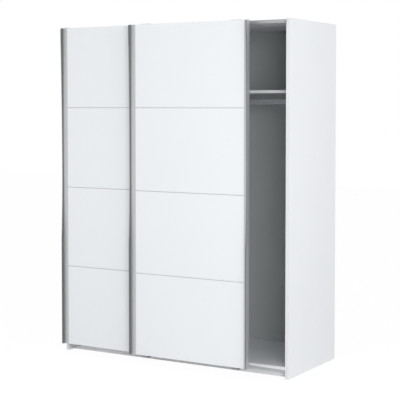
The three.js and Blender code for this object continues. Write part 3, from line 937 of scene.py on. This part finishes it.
# %% Sockets: (distance from the wall, width, height) in millimetres
SOCKET = (
    (0, 23.6, 50), (2, 23.6, 50), (2.6, 22.4, 48.8), (2.6, 21.2, 36.2), (2.9, 20.1, 35.1),
    (3.6, 19.6, 34.6), (11.2, 19.6, 34.6), (11.7, 18.8, 33.8), (11.7, 16.2, 31.2),
    (11.2, 15.6, 30.6), (0, 15.6, 30.6),
)
SOCKET_SCREW_UP = 21.4
SOCKET_FACE = 2.6
spots = {"root": [], "left_door": [], "right_door": []}  # (place, facing) of each screw
for node, outward in (("rail_socket_left_outer", 1), ("rail_socket_left_inner", -1),
                      ("rail_socket_right_inner", 1), ("rail_socket_right_outer", -1)):
    low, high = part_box(node)
    wall_x = low.x if outward > 0 else high.x
    middle = middle_of(node)
    socket = loft(node + "_casting", [
        oval(wall_x + outward * along * MM, middle, wide, tall) for along, wide, tall in SOCKET],
        closed=True)
    hand_over(smooth(socket), chrome, "root", node)
    for up in (-SOCKET_SCREW_UP, SOCKET_SCREW_UP):
        place = (wall_x + outward * SOCKET_FACE * MM, middle.y, middle.z + up * MM)
        spots["root"].append((place, (outward, 0, 0)))

# %% [markdown]
# ## Tracks
#
# The top track and the bottom guide rail are drawn sections with two grooves, one
# for each door. Drawn aluminium never has a sharp corner, so every corner of the
# outline gets its small radius before the outline is extruded along the cabinet.

# %% Top track
FASCIA, TRACK_WALL, TRACK_FLOOR, TRACK_MIDDLE = 2, 1.5, 2.5, 14
TIP, INNER = 0.4, 0.6
FASCIA_LINES = (16, 4)
FASCIA_LINE_DEEP = 0.4
TRACK_SCREW_UP = 10
TRACK_SCREWS = 7
low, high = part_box("top_track")
deep, tall = (high.y - low.y) / MM, (high.z - low.z) / MM
web = TRACK_WALL / 2
track_corners = [
    (0, 0, 0.8), (deep, 0, 0.5), (deep, tall, TIP), (deep - TRACK_WALL, tall, TIP),
    (deep - TRACK_WALL, TRACK_FLOOR, INNER), (TRACK_MIDDLE + web, TRACK_FLOOR, INNER),
    (TRACK_MIDDLE + web, tall, TIP), (TRACK_MIDDLE - web, tall, TIP),
    (TRACK_MIDDLE - web, TRACK_FLOOR, INNER), (FASCIA, TRACK_FLOOR, INNER),
    (FASCIA, tall, TIP), (0, tall, INNER),
]
for up in FASCIA_LINES:
    track_corners += [(0, up + FASCIA_LINE_DEEP, 0), (FASCIA_LINE_DEEP, up, 0),
                      (0, up - FASCIA_LINE_DEEP, 0)]
top_track = outline_piece("top_track_section", section(low, track_corners, 3),
                          "x", low.x, high.x)
hand_over(smooth(top_track), anodised_level, "root", "top_track")
for x in along(low, high, TRACK_SCREWS):
    place = (x, high.y - TRACK_WALL * MM, low.z + TRACK_SCREW_UP * MM)
    spots["root"].append((place, (0, -1, 0)))

# %% Bottom guide rail
GUIDE_WALL, GUIDE_GROOVE = 1.5, 15
GUIDE_PITCH = GUIDE_WALL + GUIDE_GROOVE
low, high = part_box("bottom_guide_rail")
tall = (high.z - low.z) / MM
roof = tall - GUIDE_WALL
guide_corners = []
for start in (0, GUIDE_PITCH, 2 * GUIDE_PITCH):
    wall_end = start + GUIDE_WALL
    guide_corners += [(start, 0, TIP), (wall_end, 0, TIP), (wall_end, roof, INNER),
                      (wall_end + GUIDE_GROOVE, roof, INNER)]
deep = 2 * GUIDE_PITCH + GUIDE_WALL
guide_corners[-2:] = [(deep, tall, TIP), (0, tall, TIP)]
guide_rail = outline_piece("bottom_guide_rail_section", section(low, guide_corners, 3),
                           "x", low.x, high.x)
hand_over(smooth(guide_rail), anodised_level, "root", "bottom_guide_rail")
for k, x in enumerate(along(low, high, TRACK_SCREWS)):
    groove = GUIDE_WALL + GUIDE_GROOVE / 2 + (k % 2) * GUIDE_PITCH
    spots["root"].append(((x, low.y + groove * MM, low.z + roof * MM), (0, 0, -1)))

# %% Rubber stops at the ends of the grooves
STOP_EASE = 1.8 * MM
for side in ENDS:
    for groove in ("front", "rear"):
        node = f"track_stop_{side}_{groove}"
        low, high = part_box(node)
        stop = board(node + "_buffer", low, high, ease=STOP_EASE, banded=False)
        hand_over(smooth(stop, 50), grey_rubber, "root", node)
        middle = middle_of(node)
        spots["root"].append(((middle.x, middle.y, high.z), (0, 0, 1)))

# %% [markdown]
# ## Running gear
#
# Each door hangs from two steel hooks. A hook is one strip of 1.5 mm sheet, screwed
# to the door's back, bent over its top and down into the groove, where a stud
# carries a nylon wheel on a bearing. Below, two nylon guides hold the door's foot.
# The wheels have bodies of their own, so they turn as the doors slide.

# %% Hooks
SHEET = 1.5
BEND = 3
STUD = ((0, -5.8), (1.3, -5.8), (1.9, -5.2), (2, -4.6), (2, 0.5), (3.4, 0.5), (3.4, 0.9),
        (0, 0.9))
HOOK_SCREWS = ((-20, 12), (20, 12), (-20, 36), (20, 36))
WHEEL_GAP = 0.3
TONGUE_CLEAR = 1.5
PLATE_CORNER, TONGUE_CORNER = 6 * MM, 4 * MM
HANGERS = [(door, end) for door in DOORS for end in ENDS]


def round_sheet_corners(piece, at_z, radius):
    """Rounds the corners of the sheet where its bottom edges stand at that height."""
    shape = bmesh.new()
    shape.from_mesh(piece.data)
    near = 0.1 * MM
    corners = [edge for edge in shape.edges
               if all(abs(vert.co.z - at_z) < near for vert in edge.verts)
               and abs(edge.verts[0].co.x - edge.verts[1].co.x) < near]
    bmesh.ops.bevel(shape, geom=corners, offset=radius, segments=5, profile=0.5, affect="EDGES")
    shape.to_mesh(piece.data)
    shape.free()


def hook(door, end):
    """One bent strip from the door's back down into its groove, and the wheel's stud."""
    node = f"{door}_carriage_{end}"
    low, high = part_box(node)
    reach, tall = (high.y - low.y) / MM, (high.z - low.z) / MM
    tongue = (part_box("top_track")[0].z - low.z) / MM + TRACK_FLOOR + TONGUE_CLEAR
    corners = [
        (0, 0, 0), (0, tall, BEND), (reach, tall, BEND), (reach, tongue, 0),
        (reach - SHEET, tongue, 0), (reach - SHEET, tall - SHEET, BEND - SHEET),
        (SHEET, tall - SHEET, BEND - SHEET), (SHEET, 0, 0),
    ]
    strip = outline_piece(node + "_hook", section(low, corners), "x", low.x, high.x)
    round_sheet_corners(strip, low.z, PLATE_CORNER)
    round_sheet_corners(strip, low.z + tongue * MM, TONGUE_CORNER)
    hand_over(smooth(strip), zinc_steel, door, node)
    wheel = f"{door}_wheel_{end}"
    hub = middle_of(wheel)
    seat = Vector((hub.x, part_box(wheel)[1].y + WHEEL_GAP * MM, hub.z))
    stud = turned(node + "_stud", STUD, seat, "y", sides=24)
    hand_over(smooth(stud), zinc_steel, door)
    for across, up in HOOK_SCREWS:
        place = (hub.x + across * MM, low.y + SHEET * MM, low.z + up * MM)
        spots[door].append((place, (0, 1, 0)))


for door, end in HANGERS:
    hook(door, end)

# %% Wheels: (radius, along) in millimetres
TYRE = ((4, -2.1), (6.3, -2.5), (7, -2.35), (7.4, -1.9), (7.5, -1.5), (7.5, 1.5), (7.4, 1.9),
        (7, 2.35), (6.3, 2.5), (4, 2.1))
BEARING = ((2.2, -2.3), (2.9, -2.3), (3, -1.9), (3.5, -1.9), (3.6, -2.2), (3.95, -2.2),
           (3.95, 2.2), (3.6, 2.2), (3.5, 1.9), (3, 1.9), (2.9, 2.3), (2.2, 2.3))
for door, end in HANGERS:
    node = f"{door}_wheel_{end}"
    tyre = turned(node + "_tyre", TYRE, middle_of(node), "y", closed=True, sides=40)
    hand_over(smooth(tyre), white_nylon, node, node)
    bearing = turned(node + "_bearing", BEARING, middle_of(node), "y", closed=True, sides=28)
    hand_over(smooth(bearing), zinc_steel, node)

# %% Guides at the doors' feet
SHOE = 14
SHOE_CLEAR = 1.2
SHOE_RADIUS = 3
GUIDE_EASE = 0.25 * MM
GUIDE_SCREWS = ((-10, 12), (10, 12), (-10, 26), (10, 26))
for door, end in HANGERS:
    node = f"{door}_guide_{end}"
    low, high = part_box(node)
    reach, tall = (high.y - low.y) / MM, (high.z - low.z) / MM
    shoe_top = (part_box("bottom_guide_rail")[1].z - low.z) / MM - GUIDE_WALL - SHOE_CLEAR
    corners = [
        (0, 0, 1.4), (reach, 0, 1.2), (reach, shoe_top, SHOE_RADIUS),
        (reach - SHOE, shoe_top, SHOE_RADIUS), (reach - SHOE, SHEET, 0.8),
        (SHEET, SHEET, 1.2), (SHEET, tall, 0.6), (0, tall, 0.3),
    ]
    guide = outline_piece(node + "_moulding", section(low, corners), "x", low.x, high.x,
                          ease=GUIDE_EASE)
    hand_over(smooth(guide), grey_nylon, door, node)
    for across, down in GUIDE_SCREWS:
        place = (middle_of(node).x + across * MM, low.y + SHEET * MM, high.z - down * MM)
        spots[door].append((place, (0, 1, 0)))

# %% Floor glides: (radius, height) in millimetres
GLIDE = ((0, 0), (6.2, 0), (7.8, 0.3), (8.7, 1.0), (9, 1.9), (9, 3), (0, 3))
for side in ENDS:
    for end in ("front", "rear"):
        node = f"floor_glide_{side}_{end}"
        foot = Vector((*middle_of(node).xy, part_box(node)[0].z))
        glide = turned(node + "_pad", GLIDE, foot)
        hand_over(smooth(glide), grey_rubber, "root", node)

# %% [markdown]
# ## Screws, cover caps and nails
#
# Fasteners repeat, so one tree sets them all out. It takes a cloud of points, each
# with the way that it faces, puts a head on every point, and gives each head its
# own spin from a fixed seed, because no two screws stop at the same angle. A
# second tree cuts the cross into the screw's head.

# %% The fasteners tree
set_fasteners, given = new_tree("set_fasteners", Head="object", Seed="count", Material="material")
points = given["Mesh"]
facing = points.node("GeometryNodeInputNamedAttribute", {"Name": "facing"},
                     {"data_type": "FLOAT_VECTOR"})
aimed = points.node("FunctionNodeAlignRotationToVector", {"Vector": facing}, {"axis": "Z"})
angle = points.node("FunctionNodeRandomValue", {2: 0.0, 3: math.tau, "Seed": given["Seed"]},
                    {"data_type": "FLOAT"}, 1)
spin = points.node("FunctionNodeAxisAngleToRotation", {"Axis": (0, 0, 1), "Angle": angle})
seated = points.node("FunctionNodeRotateRotation", {"Rotation": aimed, "Rotate By": spin},
                     {"rotation_space": "LOCAL"})
head = points.node("GeometryNodeObjectInfo", {"Object": given["Head"]}, {}, "Geometry")
heads = points.node("GeometryNodeInstanceOnPoints", {
    "Points": points, "Instance": head, "Rotation": seated})
close_tree(heads, given["Material"])

# %% The tree that cuts a cross into a head
cross_recess, given = new_tree(
    "cross_recess", Length="number", Width="number", Depth="number", Top="number",
    Material="material")
head = given["Mesh"]
where = head.node("ShaderNodeCombineXYZ", {"Z": given["Top"]})
cut = None
for long_way, short_way in (("X", "Y"), ("Y", "X")):
    size = head.node("ShaderNodeCombineXYZ", {
        long_way: given["Length"], short_way: given["Width"], "Z": given["Depth"] * 2})
    bar = head.node("GeometryNodeMeshCube", {"Size": size})
    placed = head.node("GeometryNodeTransform", {"Geometry": bar, "Translation": where})
    cut = head.node("GeometryNodeMeshBoolean", {"Mesh 1": cut or head, "Mesh 2": placed},
                    {"operation": "DIFFERENCE", "solver": "EXACT"})
close_tree(cut, given["Material"])

# %% Heads: (radius, height) in millimetres
SCREW_TOP = 0.6
SCREW = ((0, -0.4), (3.1, -0.4), (3.4, 0), (3.2, 0.32), (2.4, 0.52), (1.2, SCREW_TOP),
         (0, SCREW_TOP))
CAP = ((0, -0.5), (7.4, -0.5), (8.5, 0), (8.5, 0.3), (8.1, 0.7), (6.5, 1.0), (3, 1.15), (0, 1.2))
NAIL = ((0, -0.2), (1.5, -0.2), (1.7, 0.1), (1.4, 0.45), (0.7, 0.6), (0, 0.62))
ORIGIN = Vector((0, 0, 0))
screw_head = turned("screw_head", SCREW, ORIGIN, sides=18)
run_tree(screw_head, cross_recess, Length=3.6 * MM, Width=0.8 * MM, Depth=0.7 * MM,
         Top=SCREW_TOP * MM, Material=zinc_steel)
cover_cap = turned("cover_cap", CAP, ORIGIN, sides=24)
nail_head = turned("nail_head", NAIL, ORIGIN, sides=12)


def set_out(name, places, head, seed, finish, body):
    """A plain mesh of heads, one on each (place, facing)."""
    mesh = bpy.data.meshes.new(name)
    mesh.from_pydata([place for place, _ in places], [], [])
    facing = mesh.attributes.new("facing", "FLOAT_VECTOR", "POINT")
    for i, (_, way) in enumerate(places):
        facing.data[i].vector = way
    piece = bpy.data.objects.new(name, mesh)
    bpy.context.scene.collection.objects.link(piece)
    run_tree(piece, set_fasteners, Head=head, Seed=seed, Material=finish)
    hand_over(smooth(piece), finish, body)


print("heads:", ", ".join(head.name for head in (screw_head, cover_cap, nail_head)))


# %% Places for the cover caps and the nails
CAM_INSET = 34 * MM
CAM_FROM_EDGE = 60 * MM
caps = []
for node, upward in (("top_panel", True), ("bottom_panel", False), ("shelf_left", False),
                     ("shelf_right", False)):
    low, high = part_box(node)
    face_z = high.z if upward else low.z
    for x in (low.x + CAM_INSET, high.x - CAM_INSET):
        for y in (low.y + CAM_FROM_EDGE, high.y - CAM_FROM_EDGE):
            caps.append(((x, y, face_z), (0, 0, 1 if upward else -1)))
low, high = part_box("centre_divider")
for z in (low.z + CAM_INSET, high.z - CAM_INSET):
    for y in (low.y + CAM_FROM_EDGE, high.y - CAM_FROM_EDGE):
        caps.append(((low.x, y, z), (-1, 0, 0)))
NAILS_PER_ROW = 9
nails = []
for side in ENDS:
    low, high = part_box(f"back_panel_{side}")
    for node in ("bottom_panel", "top_panel", f"shelf_{side}"):
        for x in along(low, high, NAILS_PER_ROW):
            nails.append(((x, high.y, middle_of(node).z), (0, 1, 0)))
print(len(caps), "cover caps,", len(nails), "nails")

# %% Set them all out
FIRST_SEED, CAP_SEED, NAIL_SEED = 3, 11, 12
for seed, (body, places) in enumerate(spots.items(), start=FIRST_SEED):
    set_out(f"{body}_screws", places, screw_head, seed, zinc_steel, body)
set_out("cover_caps", caps, cover_cap, CAP_SEED, white_nylon, "root")
set_out("back_nails", nails, nail_head, NAIL_SEED, zinc_steel, "root")
for head in (screw_head, cover_cap, nail_head):
    bpy.data.objects.remove(head)
